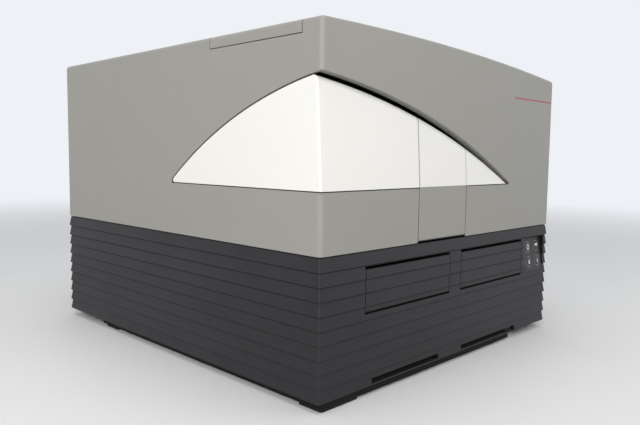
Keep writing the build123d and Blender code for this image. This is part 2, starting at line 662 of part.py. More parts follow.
def bay(left):
    """Open-fronted box behind a flap."""
    x0, x1, z0, z1 = flap_opening(left)
    y0 = FLAP_Y + FLAP_BARREL + MOVE_GAP
    y1 = y0 + BAY_DEPTH
    shell_back = FRONT + BASE_WALL
    outer = block(x0 - BAY_WALL, x1 + BAY_WALL, shell_back, y1, z0 - BAY_WALL, z1 + BAY_WALL)
    outer -= block(x0, x1, shell_back - 1, y1 - BAY_WALL, z0, z1)
    return outer - block(x0 - BAY_WALL - 1, x1 + BAY_WALL + 1, shell_back - 1, y0, z0, FLAP_Z + 7)


def pump_axis(left):
    """Centre line of the syringe in a bay: x, its front end y, and z."""
    x0, x1, z0 = flap_opening(left)[:3]
    y = FLAP_Y + FLAP_BARREL + MOVE_GAP + PUMP_SETBACK
    return (x0 + x1) / 2, y, z0 + PUMP_HEIGHT / 2


def pump_valve(left):
    """Valve block that the syringe screws into, with its two hose stubs."""
    x, y, z = pump_axis(left)
    low, high = z - PUMP_HEIGHT / 2, z + PUMP_HEIGHT / 2
    body = block(x - PUMP_WIDTH / 2, x + PUMP_WIDTH / 2, y, y + PUMP_LENGTH, low, high)
    for side in (-1, 1):
        body += rod_z(STUB_R, x + side * STUB_SPREAD, y + PUMP_LENGTH / 2, high, high + STUB_LENGTH)
    return body


def pump_syringe(left):
    """Glass barrel with a bore that the plunger slides in."""
    x, y, z = pump_axis(left)
    front = y + PUMP_LENGTH
    barrel = rod_y(BARREL_R, x, front, front + BARREL_LENGTH, z)
    return barrel - rod_y(BARREL_BORE, x, front + 3, front + BARREL_LENGTH + 1, z)


def pump_plunger(left):
    """Plunger, all the way in at rest, with a drive flange behind."""
    x, y, z = pump_axis(left)
    front = y + PUMP_LENGTH + 4
    back = y + PUMP_LENGTH + BARREL_LENGTH
    piston = rod_y(BARREL_BORE - RUNNING_FIT, x, front, front + PISTON, z)
    rod = rod_y(PLUNGER_ROD_R, x, front, back + 3 + FLANGE_THICK / 2, z)
    return piston + rod + rod_y(FLANGE_R, x, back + 3, back + 3 + FLANGE_THICK, z)


# ================= floor, feet and frame =================

def base_pan():
    """Floor plate on a shallow plinth that is open underneath."""
    floor = block(LEFT + BASE_WALL, RIGHT - BASE_WALL, FRONT + BASE_WALL, REAR_INNER, PAN_TOP - SHEET, PAN_TOP)
    x0, x1 = LEFT + PLINTH_INSET, LEFT + PLINTH_RIGHT
    y0, y1 = FRONT + PLINTH_INSET, FRONT + PLINTH_BACK
    plinth = block(x0, x1, y0, y1, FOOT_HEIGHT, PAN_TOP - SHEET)
    wall = PLINTH_WALL
    plinth -= block(x0 + wall, x1 - wall, y0 + wall, y1 - wall, FOOT_HEIGHT - 1, PAN_TOP - 2 * SHEET)
    lip = block(x0, x1, FRONT + PLINTH_FRONT, y0 + 1, FOOT_HEIGHT, GROUND_GAP - FIT)
    return floor + plinth + lip


def feet():
    """Four rubber pads under the plinth; the front left one is flush with its edges."""
    pad = extrude(RectangleRounded(FOOT_LENGTH, FOOT_WIDTH, FOOT_CORNER), FOOT_HEIGHT)
    x0, x1 = LEFT + PLINTH_INSET + FOOT_LENGTH / 2, LEFT + PLINTH_RIGHT - FOOT_SETBACK - FOOT_LENGTH / 2
    y0, y1 = FRONT + PLINTH_FRONT + FOOT_WIDTH / 2, FRONT + PLINTH_BACK - FOOT_SETBACK - FOOT_WIDTH / 2
    return [Pos(x, y, 0) * pad for x, y in ((x0, y0), (x1, y0 + FOOT_SETBACK), (x0, y1), (x1, y1))]


def side_frames():
    """Two upright sheet-metal sides that carry the deck."""
    y0, y1 = FRONT + 25, REAR_INNER - 14
    return [block(x - 1.5, x + 1.5, y0, y1, PAN_TOP, DECK_TOP - DECK_THICK)
            for x in (LEFT + 20, RIGHT - 20)]


def deck():
    return block(LEFT + 12, RIGHT - 12, FRONT + 16, REAR_INNER - 10, DECK_TOP - DECK_THICK, DECK_TOP)


def rails():
    y0, y1 = FRONT + FRAME_SETBACK, carriage_ends()[1] + 4
    return [block(x - RAIL_W / 2, x + RAIL_W / 2, y0, y1, DECK_TOP, DECK_TOP + RAIL_H)
            for x in (PLATE_X - RAIL_SPREAD, PLATE_X + RAIL_SPREAD)]


def carriage_ends():
    """Front and rear of the carriage plate."""
    return PLATE_FRONT, PLATE_FRONT + NEST_LENGTH + CARRIAGE_TAIL


def carriage_plate():
    """Carriage plate with a window under the microplate."""
    y0, y1 = carriage_ends()
    half = CARRIAGE_WIDTH / 2
    plate = block(PLATE_X - half, PLATE_X + half, y0, y1, CARRIAGE_Z, CARRIAGE_TOP)
    rim = NEST_WALL + 5
    window = block(PLATE_X - half + rim, PLATE_X + half - rim, y0 + rim, y0 + NEST_LENGTH - rim,
                   CARRIAGE_Z - 1, CARRIAGE_TOP + 1)
    return plate - window


def nest():
    """Frame on the carriage that holds the microplate by its skirt."""
    half = CARRIAGE_WIDTH / 2
    y0, top = PLATE_FRONT, CARRIAGE_TOP + NEST_WALL_H
    outer = block(PLATE_X - half, PLATE_X + half, y0, y0 + NEST_LENGTH, CARRIAGE_TOP, top)
    well = block(PLATE_X - half + NEST_WALL, PLATE_X + half - NEST_WALL, y0 + NEST_WALL,
                 y0 + NEST_LENGTH - NEST_WALL, CARRIAGE_TOP - 1, top + 1)
    ring = outer - well
    for side in (-1, 1):
        ring -= block(PLATE_X + side * half - 8, PLATE_X + side * half + 8, y0 + NEST_LENGTH / 2 - 18,
                      y0 + NEST_LENGTH / 2 + 18, CARRIAGE_TOP + 2, top + 1)
    return ring


def bearings():
    """Four rail shoes and the screw's nut, under the tail of the carriage."""
    shoes = []
    y0, y1 = carriage_ends()
    gap = MOVE_GAP
    for x in (PLATE_X - RAIL_SPREAD, PLATE_X + RAIL_SPREAD):
        for y in (y0 + NEST_LENGTH + SHOE_LENGTH / 2, y1 - SHOE_LENGTH - 6):
            shoe = block(x - RAIL_W / 2 - 4, x + RAIL_W / 2 + 4, y, y + SHOE_LENGTH, DECK_TOP + 1.5, CARRIAGE_Z)
            shoe -= block(x - RAIL_W / 2 - gap, x + RAIL_W / 2 + gap, y - 1, y + SHOE_LENGTH + 1,
                          DECK_TOP, DECK_TOP + RAIL_H + gap)
            shoes.append(shoe)
    return shoes


def screw_nut():
    y0, y1 = carriage_ends()
    middle = y0 + NEST_LENGTH + CARRIAGE_TAIL / 2
    nut = block(PLATE_X - NUT / 2 - 1, PLATE_X + NUT / 2 + 1, middle - NUT / 2, middle + NUT / 2,
                SCREW_Z - 9, CARRIAGE_Z)
    return nut - rod_y(SCREW_R + RUNNING_FIT, PLATE_X, y0, y1, SCREW_Z)


def screw_ends():
    return FRONT + FRAME_SETBACK + 1, carriage_ends()[1] + BEARING + 4


def lead_screw():
    y0, y1 = screw_ends()
    return rod_y(SCREW_R, PLATE_X, y0 + 1, y1 + 6, SCREW_Z)


def screw_bearings():
    """A bearing block at each end of the screw."""
    blocks = []
    y0, y1 = screw_ends()
    for y in (y0, y1 - BEARING):
        body = block(PLATE_X - 13, PLATE_X + 13, y, y + BEARING, DECK_TOP, CARRIAGE_Z - 1.5)
        blocks.append(body - rod_y(SCREW_R + RUNNING_FIT, PLATE_X, y - 1, y + BEARING + 1, SCREW_Z))
    return blocks


def drive_motor():
    """Motor behind the screw, bored for its end."""
    y = screw_ends()[1] + 0.5
    body = block(PLATE_X - MOTOR / 2, PLATE_X + MOTOR / 2, y, y + MOTOR_LENGTH, DECK_TOP, SCREW_Z + MOTOR / 2)
    return body - rod_y(SCREW_R + RUNNING_FIT, PLATE_X, y - 1, y + 8, SCREW_Z)


# ================= reading head =================

def head_box():
    """Corners of the reading head: x0, x1, y0, y1, z0, z1."""
    x0, y0, z0 = PLATE_X - HEAD_WIDTH / 2, HEAD_Y - HEAD_DEPTH / 2, BEAM_Z - HEAD_HEIGHT / 2 + 4
    return x0, x0 + HEAD_WIDTH, y0, y0 + HEAD_DEPTH, z0, z0 + HEAD_HEIGHT


def beam_span():
    """Left and right ends of the beam."""
    reach = HEAD_WIDTH / 2 + HEAD_TRAVEL + BEAM_POST
    return PLATE_X - reach - BEAM_LEFT_REACH, PLATE_X + reach + BEAM_RIGHT_REACH


def bridge():
    """Beam across the plate's path on two posts, with a rail in front and ears for the head's screw."""
    x0, x1 = beam_span()
    y0 = head_box()[3] + HEAD_GAP
    top = BEAM_Z + BEAM_H
    beam = block(x0, x1, y0, y0 + BEAM_W, BEAM_Z, top)
    for x in (x0, x1 - BEAM_POST):
        beam += block(x, x + BEAM_POST, y0, y0 + 2 * BEAM_W, DECK_TOP, top)
    beam += block(x0 + BEAM_POST, x1 - BEAM_POST, y0 - HEAD_RAIL_DEPTH, y0,
                  BEAM_Z + HEAD_RAIL_LOW, BEAM_Z + HEAD_RAIL_HIGH)
    y, z = head_screw_line()
    for x in (x0, x1 - SCREW_EAR):
        beam += block(x, x + SCREW_EAR, y - 8, y0 + BEAM_W, top, z + 3 * HEAD_SCREW_R)
    return beam - rod_x(HEAD_SCREW_R + RUNNING_FIT, x0 - 1, x1 + 1, y, z)


def reading_head():
    x0, x1, y0, y1, z0, z1 = head_box()
    body = block(x0, x1, y0, y1, z0, z1)
    gap = MOVE_GAP
    body -= block(x0 - 1, x1 + 1, y1 + HEAD_GAP - HEAD_RAIL_DEPTH - gap, y1 + 1,
                  BEAM_Z + HEAD_RAIL_LOW - gap, BEAM_Z + HEAD_RAIL_HIGH + gap)
    body -= rod_z(LENS_R + RUNNING_FIT, PLATE_X, HEAD_Y - 6, z0 - 1, z1 + 1)
    return body - rod_x(HEAD_SCREW_R + RUNNING_FIT, x0 - 1, x1 + 1, *head_screw_line())


def head_screw_line():
    """The y and z of the screw that moves the head."""
    return head_box()[3] - 5, BEAM_Z + BEAM_H + SCREW_CLEAR


def objective():
    y, top = HEAD_Y - 6, head_box()[5]
    lens = rod_z(LENS_R, PLATE_X, y, LENS_BOTTOM + 8, top - 3 * FOCUS_TRAVEL)
    cone = Pos(PLATE_X, y, LENS_BOTTOM + 4) * Cone(LENS_R * 0.5, LENS_R, 8)
    return lens + cone


def head_screw():
    x0, x1 = beam_span()
    return rod_x(HEAD_SCREW_R, x0 + 1, x1 + 7, *head_screw_line())


def head_motor():
    x = beam_span()[1] + 0.5
    y, z = head_screw_line()
    half = HEAD_MOTOR / 2
    body = block(x, x + HEAD_MOTOR_LENGTH, y - half, y + half, z - half, z + half)
    return body - rod_x(HEAD_SCREW_R + RUNNING_FIT, x - 1, x + 8, y, z)


# ================= optics and electronics =================

def optical_units():
    """Boxes of the optical bench on the deck: name and solid."""
    x0, x1 = beam_span()[1] + 45, RIGHT - 22
    emission_end = REAR_INNER - UNIT_BACK
    emission_start = emission_end - EMISSION_LENGTH
    excitation_end = emission_start - UNIT_SPACING
    top, rim = DECK_TOP + UNIT_HEIGHT, UNIT_LID_RIM
    units = []
    for name, y0, y1 in (("excitation_unit", excitation_end - EXCITATION_LENGTH, excitation_end),
                         ("emission_unit", emission_start, emission_end)):
        body = block(x0, x1, y0, y1, DECK_TOP, top)
        body += block(x0 - rim, x1 + rim, y0 - rim, y1 + rim, top, top + UNIT_LID)
        body += rod_x(LIGHT_PIPE_R, x0 - 16, x0, (y0 + y1) / 2, DECK_TOP + LIGHT_PIPE_Z)
        units.append((name, body))
    return units + [("flash_lamp", flash_lamp()), ("detector", detector())]


def flash_lamp():
    width, length, height = LAMP
    port_r, port_length, port_z = LAMP_PORT
    x0, y1 = LEFT + LEFT_UNIT_INSET, REAR_INNER - LAMP_BACK
    y0 = y1 - length
    lamp = block(x0, x0 + width, y0, y1, DECK_TOP, DECK_TOP + height)
    return lamp + rod_y(port_r, x0 + width / 2, y0 - port_length, y0, DECK_TOP + port_z)


def detector():
    width, length, height = DETECTOR
    port_r, port_length, port_z = DETECTOR_PORT
    x0 = LEFT + LEFT_UNIT_INSET
    y1 = REAR_INNER - LAMP_BACK - LAMP[1] - LAMP_PORT[1] - DETECTOR_SPACING
    body = block(x0, x0 + width, y1 - length, y1, DECK_TOP, DECK_TOP + height)
    return body + rod_x(port_r, x0 + width, x0 + width + port_length, y1 - length / 2, DECK_TOP + port_z)


def power_supply():
    """Closed box with a row of vent pockets in its left side."""
    width, length, height = SUPPLY
    x0, y1 = LEFT + SUPPLY_PLACE[0], REAR_INNER - SUPPLY_PLACE[1]
    body = block(x0, x0 + width, y1 - length, y1, PAN_TOP, PAN_TOP + height)
    for k in range(SUPPLY_VENTS):
        y = y1 - length + VENT_PITCH / 2 + VENT_PITCH * k
        body -= block(x0 - 1, x0 + 2, y, y + 8, PAN_TOP + 12, PAN_TOP + height - 12)
    return body


def main_board():
    """Circuit board on four stand-offs, with its larger components."""
    (x0, y0), x1, y1 = MAIN_BOARD_PLACE, RIGHT - 35, REAR_INNER - 45
    z = PAN_TOP + STAND_OFF
    board = block(x0, x1, y0, y1, z, z + BOARD)
    for x in (x0 + STAND_OFF, x1 - STAND_OFF):
        for y in (y0 + STAND_OFF, y1 - STAND_OFF):
            board += rod_z(STAND_OFF_R, x, y, PAN_TOP, z)
    for px, py, w, d, h in COMPONENTS:
        board += block(x0 + px, x0 + px + w, y0 + py, y0 + py + d, z + BOARD, z + BOARD + h)
    return board


# ================= rear =================

def rear_outline():
    """Rear plate that closes the back, before its holes are cut."""
    lower = block(LEFT + BASE_WALL, RIGHT - BASE_WALL, REAR_INNER, REAR_FACE, GROUND_GAP, BASE_TOP)
    upper = hood_block(HOOD_WALL, BASE_TOP, REAR_FACE) & block(
        LEFT, RIGHT, REAR_INNER, REAR_FACE, BASE_TOP, ROOF_TOP)
    return lower + upper


def rear_screw_places():
    xs = [end + sign * inset for end, sign in ((LEFT, 1), (RIGHT, -1)) for inset in REAR_SCREW_INSETS]
    return [(x, z) for x in xs for z in (REAR_SCREW_LOW, ROOF_TOP - REAR_SCREW_DROP)]


def window_in_rear(place, y0, y1, grow=0.0):
    x, z, w, h = place
    return block(x - w / 2 - grow, x + w / 2 + grow, y0, y1, z - h / 2 - grow, z + h / 2 + grow)


def rear_panel():
    panel = rear_outline()
    for x, z in rear_screw_places():
        panel -= rod_y(REAR_SCREW_R + RUNNING_FIT, x, REAR_INNER - 1, REAR, z)
    for place in (INLET, SWITCH, DATA):
        panel -= window_in_rear(place, REAR_INNER - 1, REAR)
    half_slot = GRILLE_SLOT / 2
    for k in range(-4, 5):
        rise = GRILLE_PITCH * k
        half = sqrt((FAN / 2 - 3) ** 2 - rise ** 2)
        z = FAN_Z + rise
        panel -= block(FAN_X - half, FAN_X + half, REAR_INNER - 1, REAR, z - half_slot, z + half_slot)
    for k in range(VENT_ROWS):
        z = VENT_LOW + GRILLE_PITCH * k
        start, end = (LEFT + place for place in VENT_SPAN)
        panel -= block(start, end, REAR_INNER - 1, REAR, z - half_slot, z + half_slot)
    return panel


def rear_screws():
    screws = []
    for x, z in rear_screw_places():
        head = rod_y(REAR_SCREW_HEAD, x, REAR_FACE, REAR_FACE + 1.6, z)
        screws.append(head + rod_y(REAR_SCREW_R, x, REAR_INNER - 4, REAR_FACE, z))
    return screws


def mains_inlet():
    """Recessed three-pin inlet whose flange bears on the rear panel."""
    body = window_in_rear(INLET, REAR_INNER - 22, REAR_FACE, -FIT)
    body += window_in_rear(INLET, REAR_FACE, REAR_FACE + 1.5, 3.0)
    x, z, w, h = INLET
    body -= block(x - w / 2 + 9, x + w / 2 - 9, REAR_INNER - 16, REAR, z - h / 2 + 2, z + h / 2 - 2)
    for dx, dz in ((-7, -3), (7, -3), (0, 4)):
        body += block(x + dx - 1, x + dx + 1, REAR_INNER - 17, REAR_INNER - 2, z + dz - 2.5, z + dz + 2.5)
    return body


def switch_frame():
    """Frame of the power switch, open at the back face for the rocker."""
    body = window_in_rear(SWITCH, REAR_INNER - 18, REAR_FACE, -FIT)
    body += window_in_rear(SWITCH, REAR_FACE, REAR_FACE + 1.2, 2.0)
    x, z, w, h = SWITCH
    rim = SWITCH_RIM
    body -= block(x - w / 2 + rim, x + w / 2 - rim, REAR_INNER - 12, REAR, z - h / 2 + rim, z + h / 2 - rim)
    for x0, x1 in ((x - w / 2 + 1, x - w / 2 + rim + 2.5), (x + w / 2 - rim - 2.5, x + w / 2 - 1)):
        body += rod_x(ROCKER_PIN_R, x0, x1, REAR_INNER - 4, z)
    return body


def rocker():
    """Rocker, tilted to its off side, with a flat V face."""
    x, z, w, h = SWITCH
    half_w, half_h = w / 2 - SWITCH_RIM - MOVE_GAP, h / 2 - SWITCH_RIM - MOVE_GAP - 1.0
    outline = [(-4.0, -half_h + 2.5), (-4.0, half_h - 2.5), (5.0, half_h), (3.4, 0.0), (5.0, -half_h)]
    body = prism_x(outline, -half_w, half_w) - rod_x(ROCKER_PIN_R + RUNNING_FIT, -half_w - 1, half_w + 1, 0, 0)
    return Pos(x, REAR_INNER - 4, z) * Rot(ROCKER_TILT, 0, 0) * body


def data_socket():
    body = window_in_rear(DATA, REAR_INNER - 15, REAR_FACE, -FIT)
    x, z, w, h = DATA
    body -= block(x - w / 2 + 1, x + w / 2 - 1, REAR_INNER - 12, REAR, z - h / 2 + 1, z + h / 2 - 1)
    return body + block(x - 3, x + 3, REAR_INNER - 13, REAR_INNER - 1, z - 1.5, z + 1.5)


def fan_frame():
    """Square fan frame against the rear panel, with a spider that carries the shaft."""
    y0, y1 = REAR_INNER - FAN_DEPTH, REAR_INNER
    body = block(FAN_X - FAN / 2, FAN_X + FAN / 2, y0, y1, FAN_Z - FAN / 2, FAN_Z + FAN / 2)
    body -= rod_y(FAN / 2 - 2, FAN_X, y0 - 1, y1 + 1, FAN_Z)
    for turn in (45, 135):
        body += Pos(FAN_X, y0 + FAN_SPIDER / 2, FAN_Z) * Rot(0, turn, 0) * Box(FAN - 3, FAN_SPIDER, 5)
    body += rod_y(FAN_HUB_R, FAN_X, y0, y0 + FAN_SPIDER, FAN_Z)
    return body + rod_y(FAN_SHAFT_R, FAN_X, y0 + FAN_SPIDER, y1 - 6, FAN_Z)


def fan_rotor():
    """Seven-bladed rotor that turns on the frame's shaft."""
    y0, y1 = REAR_INNER - FAN_DEPTH + FAN_SPIDER + MOVE_GAP, REAR_INNER - 4
    hub = rod_y(FAN_HUB_R, FAN_X, y0, y1, FAN_Z)
    reach = FAN / 2 - 5
    for k in range(FAN_BLADES):
        place = Pos((FAN_HUB_R - 2 + reach) / 2, 0, 0) * Rot(40, 0, 0)
        blade = place * Box(reach - FAN_HUB_R + 2, 1.6, 18)
        hub += Pos(FAN_X, (y0 + y1) / 2, FAN_Z) * Rot(0, k * 360 / FAN_BLADES, 0) * blade
    return hub - rod_y(FAN_SHAFT_R + RUNNING_FIT, FAN_X, y0 - 1, y1 - 1, FAN_Z)


# ================= small trim =================

def stripe_solid():
    """Thin red strip let into the hood's front."""
    x0, half = LEFT + STRIP_LEFT, STRIP_HEIGHT / 2
    return block(x0, x0 + STRIP_LENGTH, FRONT, FRONT + STRIP_DEPTH, STRIP_Z - half, STRIP_Z + half)


def lid_pin():
    x, z = lid_hinge()
    y0, y1 = FRONT + LID_FRONT - PIN_OVERLAP, FRONT + LID_FRONT + LID_LENGTH + PIN_OVERLAP
    return rod_y(LID_PIN_R, x, y0, y1, z)


def build():
    os.makedirs("parts", exist_ok=True)
    outer = hood_outer()
    save("top_cover", hood_shell(outer))
    corner, right, facing = split_panels(white_shell())
    save("corner_panel", corner)
    save("right_panel", right)
    save("door_facing", facing)
    save("door_body", door_body())
    save("door_pin", rod_x(DOOR_PIN_R, *door_pin_ends(), DOOR_Y, DOOR_Z))
    save("accent_strip", stripe_solid())
    save("roof_lid", roof_lid(outer))
    save("lid_pin", lid_pin())
    save("lid_well", lid_well())

    ribs = ribbed_block()
    save("base_shell", base_shell(ribs))
    for side, left in zip(("left", "right"), FLAP_LEFTS):
        save(f"{side}_flap", flap(ribs, left))
        save(f"{side}_bay", bay(left))
        save(f"{side}_pump_valve", pump_valve(left))
        save(f"{side}_syringe", pump_syringe(left))
        save(f"{side}_plunger", pump_plunger(left))
    save("flap_pins", *[flap_pin(left) for left in FLAP_LEFTS])
    save("key_plate", key_plate())
    save("key_rings", *key_rings())
    save("status_window", *status_window(STATUS_PROUD))
    save("key_board", key_board())
    for name, right_of, up in key_places():
        save(name, key_cap(right_of, up))

    save("base_pan", base_pan())
    save("feet", *feet())
    save("side_frames", *side_frames())
    save("deck", deck())
    save("rails", *rails())
    save("carriage_plate", carriage_plate())
    save("plate_nest", nest())
    save("carriage_bearings", *bearings(), screw_nut())
    save("lead_screw", lead_screw())
    save("screw_bearings", *screw_bearings())
    save("drive_motor", drive_motor())
    save("optics_bridge", bridge())
    save("reading_head", reading_head())
    save("objective", objective())
    save("head_screw", head_screw())
    save("head_motor", head_motor())
    for name, unit in optical_units():
        save(name, unit)
    save("power_supply", power_supply())
    save("main_board", main_board())
    save("rear_panel", rear_panel())
    save("rear_screws", *rear_screws())
    save("mains_inlet", mains_inlet())
    save("switch_frame", switch_frame())
    save("power_rocker", rocker())
    save("data_socket", data_socket())
    save("fan_frame", fan_frame())
    save("fan_rotor", fan_rotor())


build()
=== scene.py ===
import json
import math

import bmesh
import bpy
from mathutils import Matrix, Vector


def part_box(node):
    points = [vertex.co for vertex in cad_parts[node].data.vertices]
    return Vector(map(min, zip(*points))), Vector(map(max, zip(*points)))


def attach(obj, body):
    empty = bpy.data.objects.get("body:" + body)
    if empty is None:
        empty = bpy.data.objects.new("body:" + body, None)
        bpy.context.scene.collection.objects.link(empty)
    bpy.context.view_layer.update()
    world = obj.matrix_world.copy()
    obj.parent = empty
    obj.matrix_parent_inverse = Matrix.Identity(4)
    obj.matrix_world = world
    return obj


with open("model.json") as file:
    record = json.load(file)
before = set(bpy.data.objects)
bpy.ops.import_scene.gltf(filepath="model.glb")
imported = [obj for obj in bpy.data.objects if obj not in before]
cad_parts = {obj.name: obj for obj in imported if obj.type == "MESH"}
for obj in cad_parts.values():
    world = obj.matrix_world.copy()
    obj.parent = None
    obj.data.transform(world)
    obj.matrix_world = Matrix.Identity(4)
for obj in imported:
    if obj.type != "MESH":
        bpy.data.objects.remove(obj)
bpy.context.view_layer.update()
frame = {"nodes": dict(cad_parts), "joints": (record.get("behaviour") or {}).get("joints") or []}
nodes = frame["nodes"]

# ---------------------------------------------------------------- camera
# The instrument stands on a bench and is seen from just in front of its near left corner,
# from about two thirds of its height, with the camera tipped slightly down.
eye = Vector((-0.6800, -0.7025, 0.2572))
turn, dip, lean = math.radians(45.548), math.radians(5.132), math.radians(0.719)
ahead = Vector((math.sin(turn) * math.cos(dip), math.cos(turn) * math.cos(dip), -math.sin(dip)))
across = Vector((math.cos(turn), -math.sin(turn), 0.0))
over = across.cross(ahead)
right_way = math.cos(lean) * across + math.sin(lean) * over
up_way = math.cos(lean) * over - math.sin(lean) * across
view = bpy.data.cameras.new("view")
view.sensor_width = 36.0
view.lens = 36.0 * 632.55 / 640
view.clip_start = 0.01
camera = bpy.data.objects.new("view", view)
camera.matrix_world = Matrix((
    (right_way.x, up_way.x, -ahead.x, eye.x),
    (right_way.y, up_way.y, -ahead.y, eye.y),
    (right_way.z, up_way.z, -ahead.z, eye.z),
    (0, 0, 0, 1)))
bpy.context.scene.collection.objects.link(camera)
bpy.context.scene.camera = camera
bpy.context.scene.view_settings.view_transform = "Standard"


# ---------------------------------------------------------------- room and lamps
# An even pale room with a broad ceiling lamp and a key lamp at the left front; a window-like lamp
# on the left and one at the right front soften the shadows. Camera, metal and glass see a pale wall.
class Channel:
    """An output of a shader node; plain arithmetic on it adds Math nodes."""

    def __init__(self, tree, socket=None):
        self.tree, self.socket = tree, socket

    def node(self, kind, settings=None, out=0, **inputs):
        """Adds a node, sets it up, feeds its inputs by name (or i0, i1... by place), returns an output."""
        made = self.tree.nodes.new("ShaderNode" + kind)
        for name, value in (settings or {}).items():
            setattr(made, name, value)
        for name, value in inputs.items():
            target = made.inputs[int(name[1:]) if name[1:].isdigit() else name.replace("_", " ")]
            if isinstance(value, Channel):
                self.tree.links.new(value.socket, target)
            else:
                target.default_value = value
        return Channel(self.tree, made.outputs[out])

    def maths(self, operation, *values):
        return self.node("Math", {"operation": operation}, **{f"i{k}": v for k, v in enumerate(values)})

    def __add__(self, other): return self.maths("ADD", self, other)
    def __radd__(self, other): return self.maths("ADD", other, self)
    def __sub__(self, other): return self.maths("SUBTRACT", self, other)
    def __rsub__(self, other): return self.maths("SUBTRACT", other, self)
    def __mul__(self, other): return self.maths("MULTIPLY", self, other)
    def __rmul__(self, other): return self.maths("MULTIPLY", other, self)
    def __truediv__(self, other): return self.maths("DIVIDE", self, other)

    def most(self, other): return self.maths("MAXIMUM", self, other)
    def least(self, other): return self.maths("MINIMUM", self, other)
    def over(self, edge): return self.maths("GREATER_THAN", self, edge)
    def under(self, edge): return self.maths("LESS_THAN", self, edge)
    def part(self): return self.maths("FRACT", self)

    def ramp(self, low, high):
        """Rises smoothly from 0 to 1 as the value goes from low to high."""
        smooth = {"interpolation_type": "SMOOTHSTEP"}
        return self.node("MapRange", smooth, Value=self, From_Min=low, From_Max=high)

    def blend(self, first, second):
        """The first colour where this is 0, the second where it is 1."""
        first, second = ((*c, 1) if isinstance(c, tuple) else c for c in (first, second))
        return self.node("Mix", {"data_type": "RGBA"}, out=2, i0=self, i6=first, i7=second)


def seen_rays(tree):
    """1 for rays from the camera and for those that metal and glass send out."""
    rays = tree.nodes.new("ShaderNodeLightPath")
    kinds = [Channel(tree, rays.outputs[f"Is {kind} Ray"]) for kind in ("Camera", "Glossy", "Transmission")]
    return (kinds[0] + kinds[1] + kinds[2]).least(1.0)


wall = (0.86, 0.88, 0.92)
world = bpy.data.worlds.new("room")
world.use_nodes = True
room = world.node_tree
room.nodes.clear()
air = Channel(room)
lit = air.node("Background", Color=(0.95, 0.97, 1.0, 1), Strength=0.30)
shown = air.node("Background", Color=(*wall, 1), Strength=1.0)
ending = room.nodes.new("ShaderNodeOutputWorld")
room.links.new(air.node("MixShader", i0=seen_rays(room), i1=lit, i2=shown).socket, ending.inputs["Surface"])
bpy.context.scene.world = world

for name, place, width, height, watts, tint in (
        ("key_lamp", (-1.90, -1.60, 1.15), 0.7, 0.8, 30, (1.0, 0.985, 0.95)),
        ("window_lamp", (-2.4, -0.6, 1.3), 1.4, 1.6, 8, (1.0, 0.98, 0.95)),
        ("ceiling_lamp", (-0.3, -0.2, 2.8), 2.4, 2.4, 28, (1.0, 0.99, 0.97)),
        ("front_lamp", (1.9, -2.4, 1.1), 1.6, 1.4, 9, (0.98, 0.98, 1.0))):
    light = bpy.data.lights.new(name, "AREA")
    light.shape = "RECTANGLE"
    light.size, light.size_y = width, height
    light.energy, light.color = watts, tint
    holder = bpy.data.objects.new(name, light)
    holder.location = place
    holder.rotation_euler = (Vector((0, 0, 0.2)) - Vector(place)).to_track_quat("-Z", "Y").to_euler()
    bpy.context.scene.collection.objects.link(holder)


# ---------------------------------------------------------------- bench top
# A plain white laminate bench top, which runs out into the pale wall far behind.
class Finish:
    """A procedural material: a Principled shader and the channels that change over its surface."""

    def __init__(self, name, **constants):
        self.material = bpy.data.materials.new(name)
        self.material.use_nodes = True
        self.tree = self.material.node_tree
        self.shader = self.tree.nodes["Principled BSDF"]
        self.any = Channel(self.tree)
        for key, value in constants.items():
            self.shader.inputs[key.replace("_", " ")].default_value = value
        self.place = self.any.node("TexCoord", out=3)

    def feed(self, **channels):
        for name, channel in channels.items():
            self.tree.links.new(channel.socket, self.shader.inputs[name.replace("_", " ")])
        return self

    def noise(self, scale, detail=3.0, place=None):
        return self.any.node("TexNoise", Vector=place or self.place, Scale=scale, Detail=detail)

    def specks(self, scale, out=0, place=None):
        """Distance to the nearest of many scattered points, or (out=1) that point's own colour."""
        return self.any.node("TexVoronoi", out=out, Vector=place or self.place, Scale=scale)

    def axis(self, k):
        return self.any.node("SeparateXYZ", out=k, Vector=self.place)

    def stretched(self, x, y, z):
        return self.any.node("VectorMath", {"operation": "MULTIPLY"}, i0=self.place, i1=(x, y, z))

    def relief(self, height, depth, strength=1.0):
        """Feeds a height map, in units of depth metres, to the surface normal."""
        return self.feed(Normal=self.any.node("Bump", Height=height, Distance=depth, Strength=strength))

    def inside(self, low, high):
        """1 inside the box between two corners, 0 outside."""
        mask = None
        for k in range(3):
            along = self.axis(k)
            both = along.over(low[k]) * along.under(high[k])
            mask = both if mask is None else mask * both
        return mask

    def depth_below(self, from_left, from_right, from_front, corner):
        """How deep a point lies below the upright sides of a box with rounded corners."""
        side = (corner - from_left.least(from_right)).most(0.0)
        front = (corner - from_front).most(0.0)
        round_off = self.any.maths("SQRT", side * side + front * front)
        return from_left.least(from_right).least(from_front).least(corner - round_off)

    def put_on(self, *names):
        for name in names:
            nodes[name].data.materials.clear()
            nodes[name].data.materials.append(self.material)


laminate = Finish("bench_laminate", Roughness=0.6, Specular_IOR_Level=0.3)
laminate.feed(Base_Color=laminate.noise(6.0).blend((0.88, 0.885, 0.895), (0.91, 0.913, 0.92)))
tree = laminate.tree
reach = laminate.any.node("VectorMath", {"operation": "LENGTH"}, out=1, i0=laminate.place)
glow = laminate.any.node("Emission", Color=(*wall, 1), Strength=1.0)
joined = laminate.any.node("MixShader", i0=reach.ramp(0.9, 3.2) * seen_rays(tree),
                           i1=Channel(tree, laminate.shader.outputs[0]), i2=glow)
tree.links.new(joined.socket, tree.nodes["Material Output"].inputs["Surface"])
bpy.ops.mesh.primitive_plane_add(size=14, location=(0, 0, 0))
bench_top = bpy.context.object
bench_top.name = "bench_top"
bench_top.data.materials.append(laminate.material)

